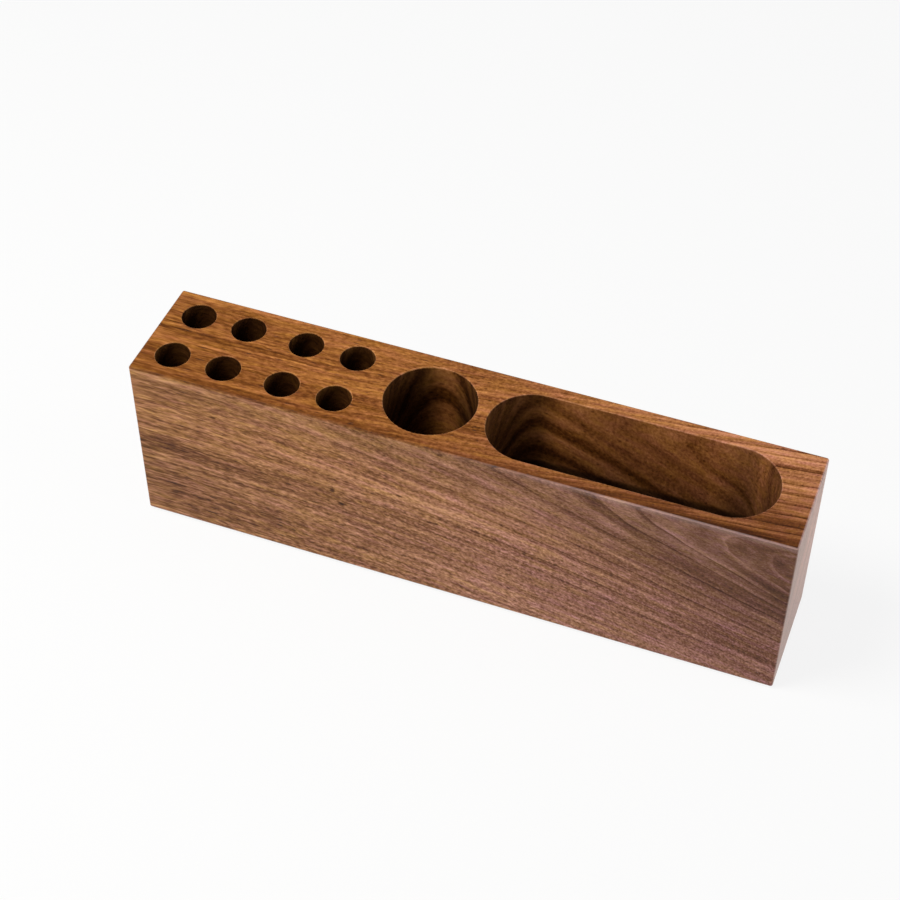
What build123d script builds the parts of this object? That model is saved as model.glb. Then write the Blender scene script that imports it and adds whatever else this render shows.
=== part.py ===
"""Pen holder: one milled hardwood block with pen bores, a round cup and a long slot, on four pads.

Millimetres. The origin is the middle of the footprint, on the surface that the holder stands on.
+X runs along the length to the slot's end, -Y faces the front and +Z is up.
"""

import os

from build123d import *

# Block
block_length = 230.0
block_depth = 42.0
block_height = 69.2
outer_edge_radius = 0.8
rim_radius = 0.5
pocket_floor = 14.2

# Pen bores, in two rows of four, where each row is two pairs
pen_bore_diameter = 12.0
pen_end_margin = 11.4
pen_pair_pitch = 18.8
pen_pair_gap = 21.5
pen_row_spacing = 20.6

# Round cup, behind the last pair of pen bores along the length
pen_to_cup = 30.2
cup_side_wall = 5.2

# Long slot with round ends, which takes the length that is left
slot_side_wall = 5.4
slot_end_wall = 10.9
cup_to_slot_web = 4.4

# Pads, each glued into a shallow drilled recess under a corner
foot_diameter = 10.0
foot_thickness = 2.0
foot_edge_radius = 0.4
foot_recess_depth = 1.2
foot_recess_clearance = 0.2
foot_end_inset = 14.0
foot_side_inset = 9.5

# Places and sizes that follow
foot_stand = foot_thickness - foot_recess_depth
block_top = foot_stand + block_height
pocket_depth = block_height - pocket_floor

first_pen_x = -block_length / 2 + pen_end_margin
pen_columns = [
    first_pen_x,
    first_pen_x + pen_pair_pitch,
    first_pen_x + pen_pair_pitch + pen_pair_gap,
    first_pen_x + 2 * pen_pair_pitch + pen_pair_gap,
]
pen_rows = [-pen_row_spacing / 2, pen_row_spacing / 2]
pen_mouths = [(x, y, block_top) for x in pen_columns for y in pen_rows]

cup_diameter = block_depth - 2 * cup_side_wall
cup_x = pen_columns[-1] + pen_to_cup

slot_width = block_depth - 2 * slot_side_wall
slot_left = cup_x + cup_diameter / 2 + cup_to_slot_web
slot_right = block_length / 2 - slot_end_wall
slot_length = slot_right - slot_left
slot_x = (slot_left + slot_right) / 2

foot_x = block_length / 2 - foot_end_inset
foot_y = block_depth / 2 - foot_side_inset
foot_places = {
    "foot_front_left": (-foot_x, -foot_y),
    "foot_front_right": (foot_x, -foot_y),
    "foot_back_left": (-foot_x, foot_y),
    "foot_back_right": (foot_x, foot_y),
}

os.makedirs("parts", exist_ok=True)

# The block, milled from one length of board
with BuildPart() as wood_block:
    with BuildSketch(Plane.XY.offset(foot_stand)):
        Rectangle(block_length, block_depth)
    extrude(amount=block_height)
    fillet(wood_block.edges(), radius=outer_edge_radius)

    with Locations(*pen_mouths):
        Hole(radius=pen_bore_diameter / 2, depth=pocket_depth)

    with Locations((cup_x, 0, block_top)):
        Hole(radius=cup_diameter / 2, depth=pocket_depth)

    with BuildSketch(Plane.XY.offset(block_top)):
        with Locations((slot_x, 0)):
            SlotOverall(slot_length, slot_width)
    extrude(amount=-pocket_depth, mode=Mode.SUBTRACT)

    # The mouths are eased by hand, which leaves a small round on each rim
    top_face = wood_block.faces().sort_by(Axis.Z)[-1]
    fillet(top_face.inner_wires().edges(), radius=rim_radius)

    with BuildSketch(Plane.XY.offset(foot_stand)):
        with Locations(*foot_places.values()):
            Circle(foot_diameter / 2 + foot_recess_clearance)
    extrude(amount=foot_recess_depth, mode=Mode.SUBTRACT)

wood_block.part.label = "wood_block"
export_step(wood_block.part, "parts/wood_block.step")

# The pads, flat discs with a rounded lower edge
for foot_name, foot_place in foot_places.items():
    with BuildPart() as foot:
        with BuildSketch(Plane.XY):
            with Locations(foot_place):
                Circle(foot_diameter / 2)
        extrude(amount=foot_thickness)
        lower_edge = foot.edges().filter_by(GeomType.CIRCLE).sort_by(Axis.Z)[0]
        fillet(lower_edge, radius=foot_edge_radius)
    foot.part.label = foot_name
    export_step(foot.part, f"parts/{foot_name}.step")

print(f"pen bores at x {[round(x, 2) for x in pen_columns]}, y {pen_rows}")
print(f"cup {cup_diameter:.2f} across at x {cup_x:.2f}")
print(f"slot {slot_length:.2f} by {slot_width:.2f}, from x {slot_left:.2f} to {slot_right:.2f}")
print(f"pockets {pocket_depth:.2f} deep, block top at z {block_top:.2f}")
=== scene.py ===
import math
import bmesh
import bpy
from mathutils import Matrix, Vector


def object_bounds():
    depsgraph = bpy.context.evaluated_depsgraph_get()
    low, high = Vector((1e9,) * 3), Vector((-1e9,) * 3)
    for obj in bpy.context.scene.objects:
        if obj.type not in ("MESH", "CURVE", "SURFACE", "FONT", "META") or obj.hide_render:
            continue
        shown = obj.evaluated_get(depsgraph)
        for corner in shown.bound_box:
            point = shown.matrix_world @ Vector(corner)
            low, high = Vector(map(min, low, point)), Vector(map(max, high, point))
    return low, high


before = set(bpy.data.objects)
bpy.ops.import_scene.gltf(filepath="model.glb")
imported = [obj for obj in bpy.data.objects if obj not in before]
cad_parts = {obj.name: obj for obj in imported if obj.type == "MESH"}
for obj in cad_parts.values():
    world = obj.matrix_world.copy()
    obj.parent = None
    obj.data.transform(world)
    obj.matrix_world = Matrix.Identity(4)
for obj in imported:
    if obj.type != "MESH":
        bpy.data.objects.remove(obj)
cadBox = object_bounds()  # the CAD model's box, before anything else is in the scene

scene = bpy.context.scene
scene.view_settings.view_transform = "Standard"
print("frame loaded:", ", ".join(sorted(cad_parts)))

mmPerMetre = 1000.0    # the wood is worked out in mm
mmPlaces = 2
noiseMiddle = 0.5      # every noise runs from 0 to 1


def inMm(metres):
    return round(metres * mmPerMetre, mmPlaces)


lowCorner, highCorner = cadBox
block = {
    "left": inMm(lowCorner[0]),
    "front": inMm(lowCorner[1]),
    "top": inMm(highCorner[2]),
    "length": inMm(highCorner[0] - lowCorner[0]),
    "depth": inMm(highCorner[1] - lowCorner[1]),
}


# small helpers for building node trees

def addNode(tree, kind, **settings):
    node = tree.nodes.new(kind)
    for name, value in settings.items():
        setattr(node, name, value)
    return node


def feed(tree, value, socket):
    if isinstance(value, bpy.types.NodeSocket):
        tree.links.new(value, socket)
    else:
        socket.default_value = value  # a plain number, place or colour


def maths(tree, operation, *values):
    node = addNode(tree, "ShaderNodeMath", operation=operation)
    for value, socket in zip(values, node.inputs):
        feed(tree, value, socket)
    return node.outputs[0]


def opposite(tree, share):
    return maths(tree, "SUBTRACT", 1.0, share)


def vectorMaths(tree, operation, *values):
    node = addNode(tree, "ShaderNodeVectorMath", operation=operation)
    for value, socket in zip(values, node.inputs):
        feed(tree, value, socket)
    return node.outputs["Value" if operation == "LENGTH" else "Vector"]


def split(tree, vector):
    node = addNode(tree, "ShaderNodeSeparateXYZ")
    feed(tree, vector, node.inputs[0])
    return node.outputs


def join(tree, *values):
    node = addNode(tree, "ShaderNodeCombineXYZ")
    for value, socket in zip(values, node.inputs):
        feed(tree, value, socket)
    return node.outputs[0]


def placeInMm(tree, position):
    return vectorMaths(tree, "MULTIPLY", position, (mmPerMetre,) * 3)


def fitRange(tree, value, low, high, newLow=0.0, newHigh=1.0, shape="LINEAR"):
    node = addNode(tree, "ShaderNodeMapRange", interpolation_type=shape, clamp=True)
    for item, socket in zip((value, low, high, newLow, newHigh), node.inputs):
        feed(tree, item, socket)
    return node.outputs["Result"]


def ramp(tree, value, stops):
    node = addNode(tree, "ShaderNodeValToRGB")
    feed(tree, value, node.inputs["Fac"])
    band = node.color_ramp
    places, colours = zip(*stops)
    band.elements[0].position = places[0]
    band.elements[1].position = places[-1]
    for place in places[1:-1]:
        band.elements.new(place)
    for element, colour in zip(band.elements, colours):
        element.color = (*colour, 1.0)
    return node.outputs["Color"]


def levelRamp(tree, value, stops):
    return ramp(tree, value, [(place, (level,) * 3) for place, level in stops])


def mixColour(tree, factor, first, second, blend="MIX"):
    node = addNode(tree, "ShaderNodeMix", data_type="RGBA", blend_type=blend)
    for value, socket in zip((factor, first, second), (node.inputs[0], node.inputs[6], node.inputs[7])):
        feed(tree, value, socket)
    return node.outputs[2]


def mixValue(tree, factor, first, second):
    node = addNode(tree, "ShaderNodeMix", data_type="FLOAT")
    for value, socket in zip((factor, first, second), (node.inputs[0], node.inputs[2], node.inputs[3])):
        feed(tree, value, socket)
    return node.outputs[0]


def valueCurve(tree, value, reach, points, handle="VECTOR"):
    curve = addNode(tree, "ShaderNodeFloatCurve")
    curve.mapping.use_clip = False   # values below 0 are wanted too
    line = curve.mapping.curves[0]
    line.points[0].location = (0.0, points[0][1])
    line.points[-1].location = (1.0, points[-1][1])
    for place, height in points:
        line.points.new(place / reach, height)
    for point in line.points:
        point.handle_type = handle
    curve.mapping.update()
    feed(tree, maths(tree, "DIVIDE", value, reach), curve.inputs["Value"])
    return curve.outputs[0]


def noise(tree, vector, spread, detail=2.0, roughness=0.5, output="Fac"):
    # spread is the size of one blotch in mm, along the grain and across it
    node = addNode(tree, "ShaderNodeTexNoise", noise_dimensions="3D")
    feed(tree, vectorMaths(tree, "DIVIDE", vector, spread), node.inputs["Vector"])
    node.inputs["Scale"].default_value = 1.0
    node.inputs["Detail"].default_value = detail
    node.inputs["Roughness"].default_value = roughness
    return node.outputs[output]


def addBump(tree, shader, height, spec):
    bump = addNode(tree, "ShaderNodeBump")
    bump.inputs["Strength"].default_value = spec["bumpStrength"]
    bump.inputs["Distance"].default_value = spec["bumpDepth"]
    feed(tree, height, bump.inputs["Height"])
    feed(tree, bump.outputs["Normal"], shader.inputs["Normal"])


def startGroup(name, inputs, outputs):
    tree = bpy.data.node_groups.new(name, "ShaderNodeTree")
    for label, kind in inputs:
        tree.interface.new_socket(label, in_out="INPUT", socket_type="NodeSocket" + kind)
    for label, kind in outputs:
        tree.interface.new_socket(label, in_out="OUTPUT", socket_type="NodeSocket" + kind)
    return tree, addNode(tree, "NodeGroupInput"), addNode(tree, "NodeGroupOutput")


def placeGroup(tree, group, **values):
    node = addNode(tree, "ShaderNodeGroup", node_tree=group)
    for label, value in values.items():
        feed(tree, value, node.inputs[label])
    return node


def startMaterial(name):
    material = bpy.data.materials.new(name)
    material.use_nodes = True
    tree = material.node_tree
    tree.nodes.clear()
    surface = addNode(tree, "ShaderNodeOutputMaterial")
    return material, tree, surface


# the log: where the grain of the block comes from, in mm

trunk = {
    "pithY": (-54.4, -1.6, 21.1),    # the heart of the tree runs in front of the block and bends:
    "pithZ": (84.4, 0.0, -24.2),     # start at the left end, slope and curve along the length
    "swayLength": (70.0, 20.0, 20.0),
    "sway": 3.0,                     # how far the rings wander
    "wobbleLength": (20.0, 5.0, 5.0),
    "wobble": 0.9,
    "swayDetail": 1.0,
    "roundness": 45.0,               # mm round the heart for one radian
}


def buildTrunk(name, spec):
    tree, start, end = startGroup(name, [("Position", "Vector")],
                                  [("Fibre", "Vector"), ("Radius", "Float"), ("Along", "Float")])
    # Fibre reads: mm from the left end, mm out from the heart, mm round it
    place = split(tree, placeInMm(tree, start.outputs["Position"]))
    fromLeft = maths(tree, "SUBTRACT", place["X"], block["left"])
    along = maths(tree, "DIVIDE", fromLeft, block["length"])
    square = maths(tree, "MULTIPLY", along, along)
    offset = []
    for axis, (first, slope, curve) in (("Y", spec["pithY"]), ("Z", spec["pithZ"])):
        pith = maths(tree, "MULTIPLY_ADD", along, slope, first)
        pith = maths(tree, "MULTIPLY_ADD", square, curve, pith)
        offset.append(maths(tree, "SUBTRACT", place[axis], pith))
    straight = join(tree, fromLeft, *offset)
    bent = straight
    for length, reach in ((spec["swayLength"], spec["sway"]), (spec["wobbleLength"], spec["wobble"])):
        push = noise(tree, straight, length, detail=spec["swayDetail"], output="Color")
        push = vectorMaths(tree, "SUBTRACT", push, (noiseMiddle,) * 3)
        bent = vectorMaths(tree, "MULTIPLY_ADD", push, (0.0, reach, reach), bent)
    radius = vectorMaths(tree, "LENGTH", vectorMaths(tree, "MULTIPLY", bent, (0.0, 1.0, 1.0)))
    bentPlace = split(tree, bent)
    angle = maths(tree, "ARCTAN2", bentPlace["Z"], bentPlace["Y"])
    fibre = join(tree, bentPlace["X"], radius, maths(tree, "MULTIPLY", angle, spec["roundness"]))
    for label, value in (("Fibre", fibre), ("Radius", radius), ("Along", along)):
        feed(tree, value, end.inputs[label])
    return tree


rings = {
    # growth rings: distance from the heart in mm, and how dark each line is, or how pale below 0
    "lines": [(7.0, 0.3), (11.5, 0.2), (15.1, -0.3), (17.6, -0.35), (21.4, 0.6), (24.2, 0.55), (28.9, 0.6),
              (33.2, 0.4), (37.8, 0.6), (42.5, 0.5), (46.0, 0.3), (49.0, 0.65), (54.3, 0.55), (57.0, 0.9),
              (61.2, 0.6), (65.6, 0.7), (71.5, 0.35), (76.4, 0.7), (81.0, 0.4), (86.0, 0.5), (91.0, 0.4)],
    "reach": 100.0,
    # from one ring line outwards to the next: dark line, fading, pale edge before the next
    "profile": [(0.0, 1.0), (0.06, 0.8), (0.14, 0.36), (0.4, 0.16), (0.75, 0.05), (0.96, 0.0), (1.0, 0.4)],
    # the same line, broad and soft, as the planed top shows it at its right end
    "broad": [(0.0, 0.8), (0.1, 1.0), (0.3, 0.3), (0.5, 0.0), (0.92, 0.0), (1.0, 0.8)],
    "patchLength": (60.0, 4.0, 25.0),    # the lines come and go in long patches:
    "patchNoise": (0.3, 0.65),           # from here to here on the noise,
    "patch": (0.55, 1.0),                # the line is this strong
    "softLeft": 0.45,                    # the lines are softer at the left
    "softAlong": (0.3, 0.65),
    "outer": (54.8, 56.0),               # the outer lines run out to the right,
    "fadeAlong": (0.35, 0.6),
    "fadeRound": (-20.0, -38.0),         # most of all low down
    "fade": (0.45, 0.9),
    # how pale the wood is at each distance from the heart: left, middle and right
    "heart": [
        (0.07, [(30.0, 0.40), (40.0, 0.55), (43.5, 0.49), (47.0, 0.58), (50.8, 0.38), (55.0, 0.46),
                (58.8, 0.27), (63.5, 0.44), (74.0, 0.43), (80.0, 0.33), (88.0, 0.46)]),
        (0.43, [(24.0, 0.42), (30.5, 0.41), (35.0, 0.53), (39.5, 0.51), (46.5, 0.69), (51.0, 0.50),
                (57.0, 0.52), (60.0, 0.45), (66.0, 0.56), (76.0, 0.50), (84.0, 0.43)]),
        (0.92, [(10.0, 0.22), (18.5, 0.22), (21.0, 0.41), (27.0, 0.41), (31.0, 0.52), (35.0, 0.49),
                (40.5, 0.62), (47.5, 0.49), (54.0, 0.59), (60.0, 0.54), (66.0, 0.55), (90.0, 0.50)]),
    ],
    "heartMiddle": 0.5,                  # neither dark nor pale
}


def buildRings(name, spec):
    tree, start, end = startGroup(name, [("Fibre", "Vector"), ("Radius", "Float"), ("Along", "Float")],
                                  [("Line", "Float"), ("Broad", "Float"), ("Heart", "Float")])
    fibre, radius, along = (start.outputs[label] for label in ("Fibre", "Radius", "Along"))
    # the rings are counted outwards, so that the fraction tells how far it is to the next one
    steps = len(spec["lines"]) + 1
    counted = [(0.0, 0.0)]
    counted += [(line[0], number / steps) for number, line in enumerate(spec["lines"], start=1)]
    counted += [(spec["reach"], 1.0)]
    count = maths(tree, "MULTIPLY", valueCurve(tree, radius, spec["reach"], counted), steps)
    step = maths(tree, "FRACT", count)
    dark = valueCurve(tree, radius, spec["reach"], spec["lines"])
    feed(tree, maths(tree, "MULTIPLY", levelRamp(tree, step, spec["broad"]), dark), end.inputs["Broad"])
    line = maths(tree, "MULTIPLY", levelRamp(tree, step, spec["profile"]), dark)
    patch = noise(tree, fibre, spec["patchLength"])
    line = maths(tree, "MULTIPLY", line, fitRange(tree, patch, *spec["patchNoise"], *spec["patch"]))
    line = maths(tree, "MULTIPLY", line, fitRange(tree, along, *spec["softAlong"], spec["softLeft"], 1.0))
    fade = fitRange(tree, split(tree, fibre)["Z"], *spec["fadeRound"], *spec["fade"])
    gone = maths(tree, "MULTIPLY", fitRange(tree, radius, *spec["outer"]),
                 fitRange(tree, along, *spec["fadeAlong"], 0.0, fade))
    feed(tree, mixValue(tree, gone, line, 0.0), end.inputs["Line"])
    heart, last = None, 0.0
    for place, levels in spec["heart"]:
        level = valueCurve(tree, radius, spec["reach"], levels, "AUTO")
        heart = level if heart is None else mixValue(tree, fitRange(tree, along, last, place), heart, level)
        last = place
    feed(tree, maths(tree, "SUBTRACT", heart, spec["heartMiddle"]), end.inputs["Heart"])
    return tree


pores = {
    "cell": (6.0, 0.9, 1.1),     # mm to the next open vessel, long along the grain
    "bore": (0.12, 0.34),        # where its dark middle ends and where it has faded out
    "filled": (0.5, 0.65),       # some are closed with oil and don't show
}


def buildPores(name, spec):
    tree, start, end = startGroup(name, [("Fibre", "Vector")], [("Pore", "Float")])
    cells = addNode(tree, "ShaderNodeTexVoronoi", voronoi_dimensions="3D", feature="F1")
    cells.inputs["Scale"].default_value = 1.0
    feed(tree, vectorMaths(tree, "DIVIDE", start.outputs["Fibre"], spec["cell"]), cells.inputs["Vector"])
    chance = addNode(tree, "ShaderNodeSeparateColor")
    feed(tree, cells.outputs["Color"], chance.inputs[0])
    pore = fitRange(tree, cells.outputs["Distance"], *spec["bore"], 1.0, 0.0)
    pore = maths(tree, "MULTIPLY", pore, fitRange(tree, chance.outputs["Red"], *spec["filled"]))
    feed(tree, pore, end.inputs["Pore"])
    return tree


pockets = {
    "reach": (2.0, 4.0),             # mm in from the outside where a bored wall starts
    "rim": 0.5,                      # the rounded mouth, mm
    "under": (57.0, 60.0),           # mm down, below every floor: the underside is plain wood again
    # painted shade on the bored walls: how much of its colour a wall keeps, by depth in mm: in the slot
    "slotDepth": [(0.0, 0.95), (10.0, 1.0), (18.0, 0.92), (25.0, 0.78), (30.5, 0.56), (32.7, 0.12),
                  (36.0, 0.10), (55.0, 0.16)],
    # in the cup and the pen bores
    "cupDepth": [(0.0, 0.66), (8.0, 0.64), (13.0, 0.64), (18.0, 0.75), (23.0, 0.9), (30.0, 1.0),
                 (33.0, 0.5), (40.0, 0.25), (55.0, 0.2)],
    "depthReach": 60.0,
    # painted shadow: both are darker low down at their right end: depth, mm from the left end, loss
    "slotShadow": ((8.0, 24.0), (196.0, 212.0), 0.4),
    "cupShadow": ((9.0, 18.0), (101.0, 107.0), 0.55),
    "cupEnd": (116.5, 121.0),        # mm from the left end: from the cup to the slot
    # and painted light and shade by the distance from the left end: pen bores, cup, slot
    "placeShade": [(0.0, 0.30), (84.0, 0.30), (93.0, 0.40), (99.0, 0.95), (103.0, 0.9), (106.0, 0.55),
                   (112.0, 0.28), (121.0, 0.26), (134.0, 0.40), (141.0, 0.82), (165.0, 0.82), (195.0, 1.1),
                   (206.0, 0.62), (208.8, 0.62), (210.2, 0.8), (211.6, 0.8), (213.4, 0.48), (222.0, 0.35)],
    "floorShade": 0.5,               # painted shade: the floors keep this much of their colour
    # broad soft bands that only the bored walls show: distance from the heart in mm, then how pale
    "figure": [(55.0, 0.0), (57.2, -0.11), (58.6, 0.11), (60.0, -0.11), (61.6, 0.14), (63.4, -0.14),
               (64.4, 0.0), (66.3, -0.33), (68.0, 0.14), (70.8, -0.2), (73.0, 0.08), (80.0, 0.0)],
    "ringLines": 0.35,               # the thin lines are weaker there
    "oil": (1.0, 0.93, 0.72, 1.0),   # and the walls are deeper in colour than the top
}


def boredWalls(tree, at, spec):
    # inside is 1 in the middle of the block, wall is 1 on a bored wall, shade is the painted shade: what a
    # wall keeps of its colour
    fromLeft, depth = at["fromLeft"], at["depth"]
    fromRight = maths(tree, "SUBTRACT", block["length"], fromLeft)
    fromSide = maths(tree, "SUBTRACT", block["depth"] / 2, maths(tree, "ABSOLUTE", at["across"]))
    nearest = maths(tree, "MINIMUM", maths(tree, "MINIMUM", fromLeft, fromRight), fromSide)
    inside = fitRange(tree, nearest, *spec["reach"])
    wall = maths(tree, "MULTIPLY", inside, fitRange(tree, depth, 0.0, spec["rim"]))
    wall = maths(tree, "MULTIPLY", wall, fitRange(tree, depth, *spec["under"], 1.0, 0.0))
    # painted shade by depth in each pocket, with a painted shadow low down at its right end
    shades = []
    for pocket in ("cup", "slot"):
        shade = valueCurve(tree, depth, spec["depthReach"], spec[pocket + "Depth"], "AUTO")
        lowDown, toRight, loss = spec[pocket + "Shadow"]
        dark = maths(tree, "MULTIPLY", fitRange(tree, depth, *lowDown), fitRange(tree, fromLeft, *toRight))
        shades.append(maths(tree, "MULTIPLY", shade, fitRange(tree, dark, 0.0, 1.0, 1.0, 1.0 - loss)))
    shade = mixValue(tree, fitRange(tree, fromLeft, *spec["cupEnd"]), *shades)
    byPlace = valueCurve(tree, fromLeft, block["length"], spec["placeShade"])
    shade = maths(tree, "MULTIPLY", shade, byPlace)
    shade = mixValue(tree, at["onTop"], shade, spec["floorShade"])
    return inside, wall, mixValue(tree, wall, 1.0, shade)


pinKnots = {
    # tiny dark knots on the front: mm from the left end, mm below the top, half their length and height
    "spots": [(73.0, 33.0, 1.2, 1.0), (76.0, 38.6, 1.5, 0.8), (97.5, 26.6, 1.5, 0.8),
              (109.0, 35.4, 3.4, 0.7), (30.0, 13.5, 1.6, 0.6), (112.0, 1.8, 1.4, 0.9)],
    "inward": 2.5,           # they end this far behind the front face
    "soft": (0.45, 1.0),
    "tone": -0.45,
}


def darkSpots(tree, at, spec):
    place = join(tree, at["fromLeft"], at["depth"], at["across"])
    dark = 0.0
    for along, down, long, high in spec["spots"]:
        offset = vectorMaths(tree, "SUBTRACT", place, (along, down, block["front"]))
        offset = vectorMaths(tree, "DIVIDE", offset, (long, high, spec["inward"]))
        spot = fitRange(tree, vectorMaths(tree, "LENGTH", offset), *spec["soft"], 1.0, 0.0)
        dark = maths(tree, "MAXIMUM", dark, spot)
    return dark


walnut = {
    "facing": (0.5, 0.95),           # how far a face has to turn to count as top, end, back or underside
    # dark to pale, by tone
    "tones": [(-0.4, (0.013, 0.005, 0.002)), (0.0, (0.074, 0.025, 0.007)), (0.25, (0.154, 0.056, 0.016)),
              (0.5, (0.281, 0.120, 0.045)), (0.75, (0.44, 0.204, 0.085)), (1.0, (0.61, 0.305, 0.147))],
    "middle": 0.57,
    "heart": 1.1,                    # how much each part of the grain adds to the tone
    "line": -0.75,
    "pore": -0.28,
    # long lines of the grain: mm along, out from the heart and round it, strength outside and on the top
    "lines": [((130.0, 6.0, 30.0), 0.35, 0.15), ((150.0, 2.0, 25.0), 0.7, 0.7),
              ((45.0, 1.1, 9.0), 0.75, 0.95)],
    # short flecks, in the same way
    "flecks": [((9.0, 1.3, 1.7), 0.5, 0.3), ((2.6, 0.8, 0.9), 1.5, 1.0)],
    "grainRoughness": 0.6,
    "calmAlong": (0.5, 0.9),         # both are weaker at the right
    "linesRight": 0.75,
    "flecksRight": 0.82,
    "fleckCrowd": (0.45, 1.9),       # the flecks get shorter from left to right,
    "hiddenCrowd": 0.4,              # but not on the back and the underside
    "heartReach": (18.0, 46.0),      # they are softer near the heart and on the bored walls
    "heartFlecks": 0.55,
    "wallFlecks": 0.65,
    # the planed top, left and right: its ring lines, its bands and how pale it is
    "topAlong": (0.55, 0.9),
    "topLines": (0.9, 1.0),
    "topHeart": (0.65, 1.2),
    "topCalm": 0.75,                 # its long lines are weaker at the left
    "topTone": -0.10,
    "topSide": (-12.0, 12.0),        # at the right it is darker in front and paler behind
    "topRight": (-0.12, 0.15),
    # bands that only the top shows, at its left: distance from the heart in mm, then how pale
    "topBands": [(38.0, 0.0), (42.5, -0.2), (46.0, -0.22), (49.0, 0.0), (52.0, 0.12), (55.0, 0.03),
                 (58.1, 0.02), (58.7, -0.12), (59.3, 0.04), (60.5, 0.2), (63.0, 0.0), (70.0, 0.0),
                 (73.0, 0.12), (76.0, 0.2)],
    "broadAlong": (0.8, 0.96),       # its right end has broad lines
    "broadTone": -0.26,
    "stripY": (-16.5, -20.0),        # its front edge is darker
    "stripTone": -0.25,
    "stripLines": 0.3,
    "lowRound": (-20.0, -45.0),      # the outside is darker low down at the right
    "lowAlong": (0.5, 0.95),
    "lowTone": -0.20,
    "lip": ((0.15, 0.4), (0.85, 0.98)),  # how far up a rounded edge faces: where it starts and ends
    "rimHighlightTone": 0.14,                 # painted highlight: mouths are paler, and so are the outer edges at the right
    # the outer edges are darker at the left and carry a painted highlight at the right
    "edgeHighlightTone": (-0.15, 0.16),
    "edgeAlong": (0.45, 0.75),
    # the painted highlight's colour on the outer edges at the right, and how much of it
    "edgeHighlight": (0.60, 0.50, 0.54, 1.0),
    "edgeHighlightShare": (0.0, 0.24),
    "highlightDepth": (0.8, 2.4),         # the painted highlight fades out below the edge, from this share of it
    "edgeFall": 0.5,
    "plum": (1.0, 1.04, 1.76, 1.0),  # from honey to plum towards the right end
    "plumAlong": (0.3, 1.0),
    "rose": (1.01, 1.05, 1.19, 1.0),     # rosier low down
    "roseDepth": (22.0, 45.0),
    "grey": (0.90, 0.99, 1.10, 1.0),     # greyer near the heart, outside only
    "greyReach": (22.0, 42.0),
    "olive": (1.0, 1.05, 0.80, 1.0),     # a fine blush between these two
    "rosy": (1.0, 0.95, 1.25, 1.0),
    "blushLength": (11.0, 1.6, 3.2),
    "blushNoise": (0.3, 0.7),
    "amber": (0.99, 0.87, 0.56, 1.0),    # the top and the bored walls hold more oil
    "endGlare": (0.68, 0.49, 0.41, 1.0),  # painted glare: the end faces are paler
    "endGlareShare": 0.25,
    "specular": 0.1,
    "roughness": (0.30, 0.42),
    "fleckRange": (-0.2, 0.2),       # what the flecks reach, for the roughness
    "wallRoughness": 0.62,
    "bumpStrength": 0.6,
    "bumpDepth": 0.00012,            # metres
    "poreDip": -0.8,
}


def readBlock(tree, spec):
    # what the finish has to know at each point: its place in the tree and in the block, and how it faces
    coords = addNode(tree, "ShaderNodeTexCoord")
    log = placeGroup(tree, buildTrunk("trunkGrain", trunk), Position=coords.outputs["Object"])
    at = {"fibre": log.outputs["Fibre"], "radius": log.outputs["Radius"], "along": log.outputs["Along"]}
    place = split(tree, placeInMm(tree, coords.outputs["Object"]))
    at["fromLeft"] = maths(tree, "SUBTRACT", place["X"], block["left"])
    at["across"] = place["Y"]
    at["depth"] = maths(tree, "SUBTRACT", block["top"], place["Z"])
    facing = split(tree, coords.outputs["Normal"])
    at["onTop"] = fitRange(tree, facing["Z"], *spec["facing"])
    onBack = fitRange(tree, facing["Y"], *spec["facing"])
    onUnderside = fitRange(tree, facing["Z"], *(-limit for limit in spec["facing"]))
    at["hidden"] = maths(tree, "MAXIMUM", onBack, onUnderside)
    at["inside"], at["wall"], at["wallShade"] = boredWalls(tree, at, pockets)
    onEnd = fitRange(tree, maths(tree, "ABSOLUTE", facing["X"]), *spec["facing"])
    at["endGrain"] = maths(tree, "MULTIPLY", onEnd, opposite(tree, at["inside"]))
    lipStart, lipEnd = spec["lip"]
    at["lip"] = maths(tree, "MULTIPLY", fitRange(tree, facing["Z"], *lipStart),
                      fitRange(tree, facing["Z"], *lipEnd, 1.0, 0.0))
    at["strip"] = maths(tree, "MULTIPLY", at["onTop"], fitRange(tree, at["across"], *spec["stripY"]))
    return at


def ringTone(tree, at, spec):
    along, onTop = at["along"], at["onTop"]
    growth = placeGroup(tree, buildRings("growthRings", rings),
                        Fibre=at["fibre"], Radius=at["radius"], Along=along)
    topHeart = fitRange(tree, along, *spec["topAlong"], *spec["topHeart"])
    gain = mixValue(tree, onTop, spec["heart"], topHeart)
    tone = maths(tree, "MULTIPLY_ADD", growth.outputs["Heart"], gain, spec["middle"])
    topLines = fitRange(tree, along, *spec["topAlong"], *spec["topLines"])
    gain = mixValue(tree, onTop, 1.0, mixValue(tree, at["strip"], topLines, spec["stripLines"]))
    gain = mixValue(tree, at["wall"], gain, pockets["ringLines"])
    line = maths(tree, "MULTIPLY", growth.outputs["Line"], gain)
    tone = maths(tree, "MULTIPLY_ADD", line, spec["line"], tone)
    gain = fitRange(tree, along, *spec["broadAlong"], 0.0, spec["broadTone"])
    gain = maths(tree, "MULTIPLY", gain, maths(tree, "SUBTRACT", onTop, at["strip"]))
    return maths(tree, "MULTIPLY_ADD", growth.outputs["Broad"], gain, tone)


def addGrain(tree, at, tone, fibre, layers, gain, spec):
    for size, strength, topStrength in layers:
        layer = noise(tree, fibre, size, roughness=spec["grainRoughness"])
        layer = maths(tree, "MULTIPLY", maths(tree, "SUBTRACT", layer, noiseMiddle), gain)
        strong = fitRange(tree, at["onTop"], 0.0, 1.0, strength, topStrength)
        tone = maths(tree, "MULTIPLY_ADD", layer, strong, tone)
    return tone, layer   # the last layer is the finest


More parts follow.
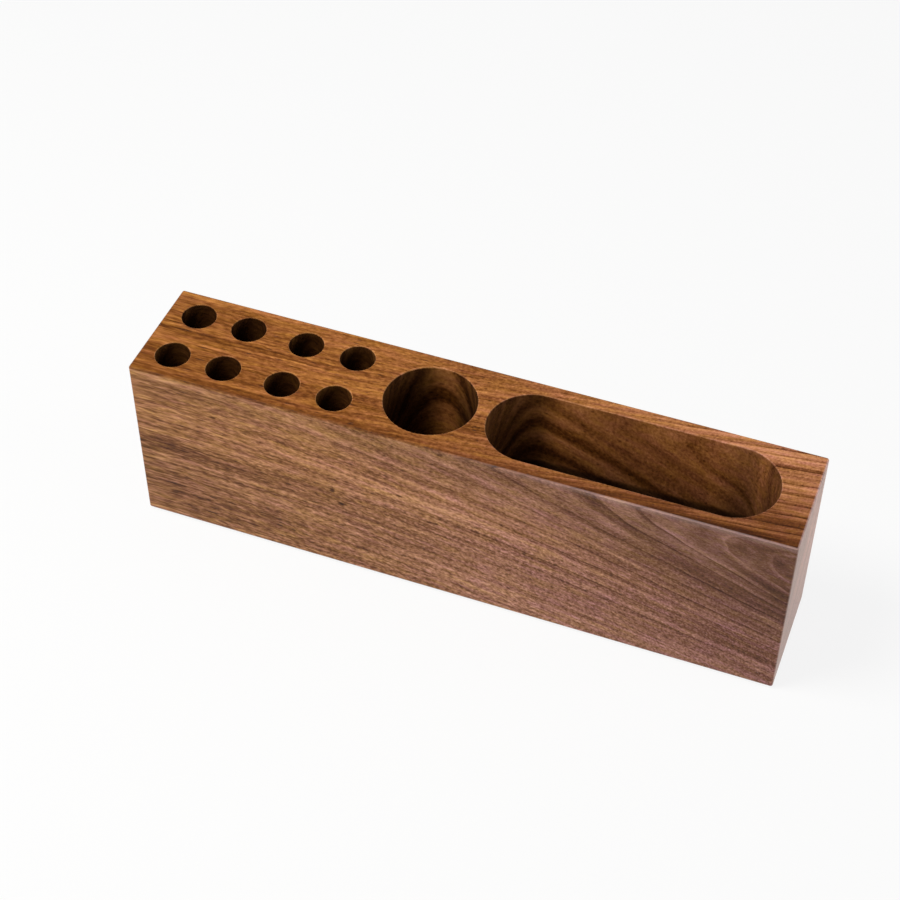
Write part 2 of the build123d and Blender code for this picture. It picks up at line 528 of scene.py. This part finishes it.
def grainTone(tree, at, tone, spec):
    along = at["along"]
    gain = fitRange(tree, along, *spec["calmAlong"], 1.0, spec["linesRight"])
    topGain = fitRange(tree, along, *spec["topAlong"], spec["topCalm"], 1.0)
    gain = mixValue(tree, at["onTop"], gain, topGain)
    tone = addGrain(tree, at, tone, at["fibre"], spec["lines"], gain, spec)[0]
    gain = fitRange(tree, at["radius"], *spec["heartReach"], spec["heartFlecks"], 1.0)
    calm = fitRange(tree, along, *spec["calmAlong"], 1.0, spec["flecksRight"])
    gain = mixValue(tree, at["wall"], maths(tree, "MULTIPLY", gain, calm), spec["wallFlecks"])
    crowdLeft, crowdRight = spec["fleckCrowd"]
    crowdRight = mixValue(tree, at["hidden"], crowdRight, spec["hiddenCrowd"])
    shorter = join(tree, mixValue(tree, along, crowdLeft, crowdRight), 1.0, 1.0)
    crowded = vectorMaths(tree, "MULTIPLY", at["fibre"], shorter)
    tone, fleck = addGrain(tree, at, tone, crowded, spec["flecks"], gain, spec)
    pore = placeGroup(tree, buildPores("openPores", pores), Fibre=crowded).outputs["Pore"]
    tone = maths(tree, "MULTIPLY_ADD", maths(tree, "MULTIPLY", pore, gain), spec["pore"], tone)
    return tone, fleck, pore


def placeTone(tree, at, tone, spec):
    # what is darker or paler by its place on the block
    along, radius, onTop = at["along"], at["radius"], at["onTop"]
    low = fitRange(tree, split(tree, at["fibre"])["Z"], *spec["lowRound"])
    low = maths(tree, "MULTIPLY", low, fitRange(tree, along, *spec["lowAlong"]))
    topBands = valueCurve(tree, radius, rings["reach"], spec["topBands"], "AUTO")
    topTone = mixValue(tree, fitRange(tree, along, *spec["topAlong"]),
                       maths(tree, "ADD", topBands, spec["topTone"]),
                       fitRange(tree, at["across"], *spec["topSide"], *spec["topRight"]))
    figure = valueCurve(tree, radius, rings["reach"], pockets["figure"], "AUTO")
    # painted highlight on the mouths and on the outer edges at the right; the edges at the left are darker
    edgeHighlightTone = fitRange(tree, along, *spec["edgeAlong"], *spec["edgeHighlightTone"])
    edgeHighlightTone = mixValue(tree, at["inside"], edgeHighlightTone, spec["rimHighlightTone"])
    changes = [(low, spec["lowTone"]), (at["wall"], figure), (onTop, topTone),
               (at["strip"], spec["stripTone"]), (darkSpots(tree, at, pinKnots), pinKnots["tone"]),
               (at["lip"], edgeHighlightTone)]
    for share, change in changes:
        tone = maths(tree, "MULTIPLY_ADD", share, change, tone)
    return tone


def toneColour(tree, tone, tones):
    low, high = tones[0][0], tones[-1][0]
    stops = [((level - low) / (high - low), colour) for level, colour in tones]
    return ramp(tree, fitRange(tree, tone, low, high), stops)


def woodColour(tree, at, tone, spec):
    along, depth, onTop, wall = (at[name] for name in ("along", "depth", "onTop", "wall"))
    oiled = maths(tree, "MAXIMUM", onTop, wall)
    nearHeart = fitRange(tree, at["radius"], *spec["greyReach"], 1.0, 0.0)
    blush = noise(tree, at["fibre"], spec["blushLength"], roughness=spec["grainRoughness"])
    blush = mixColour(tree, fitRange(tree, blush, *spec["blushNoise"]), spec["olive"], spec["rosy"])
    tints = [(fitRange(tree, along, *spec["plumAlong"]), spec["plum"]),
             (fitRange(tree, depth, *spec["roseDepth"]), spec["rose"]),
             (maths(tree, "MULTIPLY", nearHeart, opposite(tree, oiled)), spec["grey"]),
             (1.0, blush), (oiled, spec["amber"]), (wall, pockets["oil"]), (1.0, at["wallShade"])]
    colour = toneColour(tree, tone, spec["tones"])
    for share, tint in tints:
        colour = mixColour(tree, share, colour, tint, "MULTIPLY")
    # painted highlight along the outer edges at the right, reaching a little way down the faces below them
    below = fitRange(tree, depth, *spec["highlightDepth"], spec["edgeFall"], 0.0)
    below = maths(tree, "MULTIPLY", below, opposite(tree, onTop))
    paintedHighlight = maths(tree, "MULTIPLY", maths(tree, "MAXIMUM", at["lip"], below),
                 fitRange(tree, along, *spec["edgeAlong"], *spec["edgeHighlightShare"]))
    paintedHighlight = maths(tree, "MULTIPLY", paintedHighlight, opposite(tree, at["inside"]))
    # painted glare on the end faces
    paintedGlare = maths(tree, "MULTIPLY", at["endGrain"], spec["endGlareShare"])
    colour = mixColour(tree, paintedGlare, colour, spec["endGlare"])
    return mixColour(tree, paintedHighlight, colour, spec["edgeHighlight"])


def makeWalnut(spec):
    material, tree, surface = startMaterial("oiledWalnut")
    at = readBlock(tree, spec)
    tone, fleck, pore = grainTone(tree, at, ringTone(tree, at, spec), spec)
    tone = placeTone(tree, at, tone, spec)
    shader = addNode(tree, "ShaderNodeBsdfPrincipled")
    feed(tree, woodColour(tree, at, tone, spec), shader.inputs["Base Color"])
    shader.inputs["Specular IOR Level"].default_value = spec["specular"]
    rough = fitRange(tree, fleck, *spec["fleckRange"], *spec["roughness"])
    rough = mixValue(tree, maths(tree, "MAXIMUM", at["wall"], at["lip"]), rough, spec["wallRoughness"])
    feed(tree, rough, shader.inputs["Roughness"])
    addBump(tree, shader, maths(tree, "MULTIPLY_ADD", pore, spec["poreDip"], fleck), spec)
    feed(tree, shader.outputs["BSDF"], surface.inputs["Surface"])
    return material


padRubber = {
    "dark": (0.016, 0.016, 0.017, 1.0),
    "pale": (0.040, 0.040, 0.042, 1.0),
    "mottle": (2.2, 2.2, 2.2),       # mm
    "mottleDetail": 3.0,
    "grain": (0.25, 0.25, 0.25),     # mm
    "grainNoise": (0.3, 0.7),
    "roughness": (0.62, 0.8),
    "bumpStrength": 1.0,
    "bumpDepth": 0.00006,            # metres
}


def makePadRubber(spec):
    material, tree, surface = startMaterial("mattRubber")
    place = placeInMm(tree, addNode(tree, "ShaderNodeTexCoord").outputs["Object"])
    mottle = noise(tree, place, spec["mottle"], detail=spec["mottleDetail"])
    grain = noise(tree, place, spec["grain"])
    shader = addNode(tree, "ShaderNodeBsdfPrincipled")
    feed(tree, mixColour(tree, mottle, spec["dark"], spec["pale"]), shader.inputs["Base Color"])
    rough = fitRange(tree, grain, *spec["grainNoise"], *spec["roughness"])
    feed(tree, rough, shader.inputs["Roughness"])
    addBump(tree, shader, grain, spec)
    feed(tree, shader.outputs["BSDF"], surface.inputs["Surface"])
    return material


wood = makeWalnut(walnut)
rubber = makePadRubber(padRubber)
finishes = {name: rubber if name.startswith("foot_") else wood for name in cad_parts}
for name, material in finishes.items():
    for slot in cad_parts[name].material_slots:
        slot.material = material
print("finishes on", len(finishes), "pieces")


floorSpec = {
    "half": 4.0,                     # metres
    "colour": (0.72, 0.75, 0.79, 1.0),
    "white": (1.0, 1.0, 1.0, 1.0),   # added where the camera or a reflection meets the floor
    "cameraShare": 0.86,             # the rest of what the camera sees is the floor with its shadow
    "mirrorShare": 0.9,
}


def makeFloor(spec):
    shape = bmesh.new()
    bmesh.ops.create_grid(shape, x_segments=1, y_segments=1, size=spec["half"])
    mesh = bpy.data.meshes.new("floor")
    shape.to_mesh(mesh)
    shape.free()
    floor = bpy.data.objects.new("floor", mesh)
    scene.collection.objects.link(floor)
    material, tree, surface = startMaterial("paleFloor")
    path = addNode(tree, "ShaderNodeLightPath")
    mirrored = maths(tree, "MAXIMUM", path.outputs["Is Glossy Ray"], path.outputs["Is Transmission Ray"])
    share = maths(tree, "MULTIPLY", path.outputs["Is Camera Ray"], spec["cameraShare"])
    share = maths(tree, "MULTIPLY_ADD", mirrored, spec["mirrorShare"], share)
    plain = addNode(tree, "ShaderNodeBsdfDiffuse")
    plain.inputs["Color"].default_value = spec["colour"]
    white = addNode(tree, "ShaderNodeEmission")
    white.inputs["Color"].default_value = spec["white"]
    blend = addNode(tree, "ShaderNodeMixShader")
    for source, socket in zip((share, plain.outputs[0], white.outputs[0]), blend.inputs):
        feed(tree, source, socket)
    feed(tree, blend.outputs[0], surface.inputs["Surface"])
    mesh.materials.append(material)


makeFloor(floorSpec)
print("floor laid")


studio = {
    "wall": (0.97, 1.0, 1.05, 1.0),      # pale walls, a little cool
    "ceiling": (0.14, 0.14, 0.14, 1.0),
    "wallTop": (0.2, 0.5),               # where the wall starts to darken and where the ceiling begins
}

lamps = {
    # the way to each lamp from the block's foot, how far off and how wide it is in metres, and watts
    "keyLight": {"side": (-0.38, -0.26, 0.90), "distance": 0.9, "size": 0.4, "power": 7.8,
                 "colour": (1.0, 0.94, 0.85)},
    "endFill": {"side": (0.95, 0.12, 0.3), "distance": 1.2, "size": 0.7, "power": 4.5,
                "colour": (1.0, 0.98, 0.96)},
}


def lightStudio(spec):
    world = bpy.data.worlds.new("studio")
    world.use_nodes = True
    scene.world = world
    tree = world.node_tree
    tree.nodes.clear()
    height = split(tree, addNode(tree, "ShaderNodeTexCoord").outputs["Generated"])["Z"]
    level = fitRange(tree, height, *spec["wallTop"], shape="SMOOTHSTEP")
    sky = addNode(tree, "ShaderNodeBackground")
    feed(tree, mixColour(tree, level, spec["wall"], spec["ceiling"]), sky.inputs["Color"])
    out = addNode(tree, "ShaderNodeOutputWorld")
    feed(tree, sky.outputs[0], out.inputs["Surface"])


def hangLamp(name, spec):
    light = bpy.data.lights.new(name, "AREA")
    light.shape = "DISK"
    light.size = spec["size"]
    light.energy = spec["power"]
    light.color = spec["colour"]
    lamp = bpy.data.objects.new(name, light)
    scene.collection.objects.link(lamp)
    lamp.location = Vector(spec["side"]).normalized() * spec["distance"]
    lamp.rotation_euler = lamp.location.to_track_quat("Z", "Y").to_euler()


lightStudio(studio)
for name, spec in lamps.items():
    hangLamp(name, spec)
print("lit by", len(lamps), "lamps")


cameraSpec = {
    "place": (0.155648, -0.434798, 0.525612),    # metres
    "turn": (44.254, -0.137, 20.689),            # degrees
    "lens": 79.06,                               # mm, on this width of sensor
    "sensor": 36.0,
    "nearest": 0.01,
}


def placeCamera(spec):
    lens = bpy.data.cameras.new("camera")
    lens.lens = spec["lens"]
    lens.sensor_width = spec["sensor"]
    lens.clip_start = spec["nearest"]
    camera = bpy.data.objects.new("camera", lens)
    scene.collection.objects.link(camera)
    camera.location = spec["place"]
    camera.rotation_euler = [math.radians(angle) for angle in spec["turn"]]
    scene.camera = camera


placeCamera(cameraSpec)
print("camera placed")
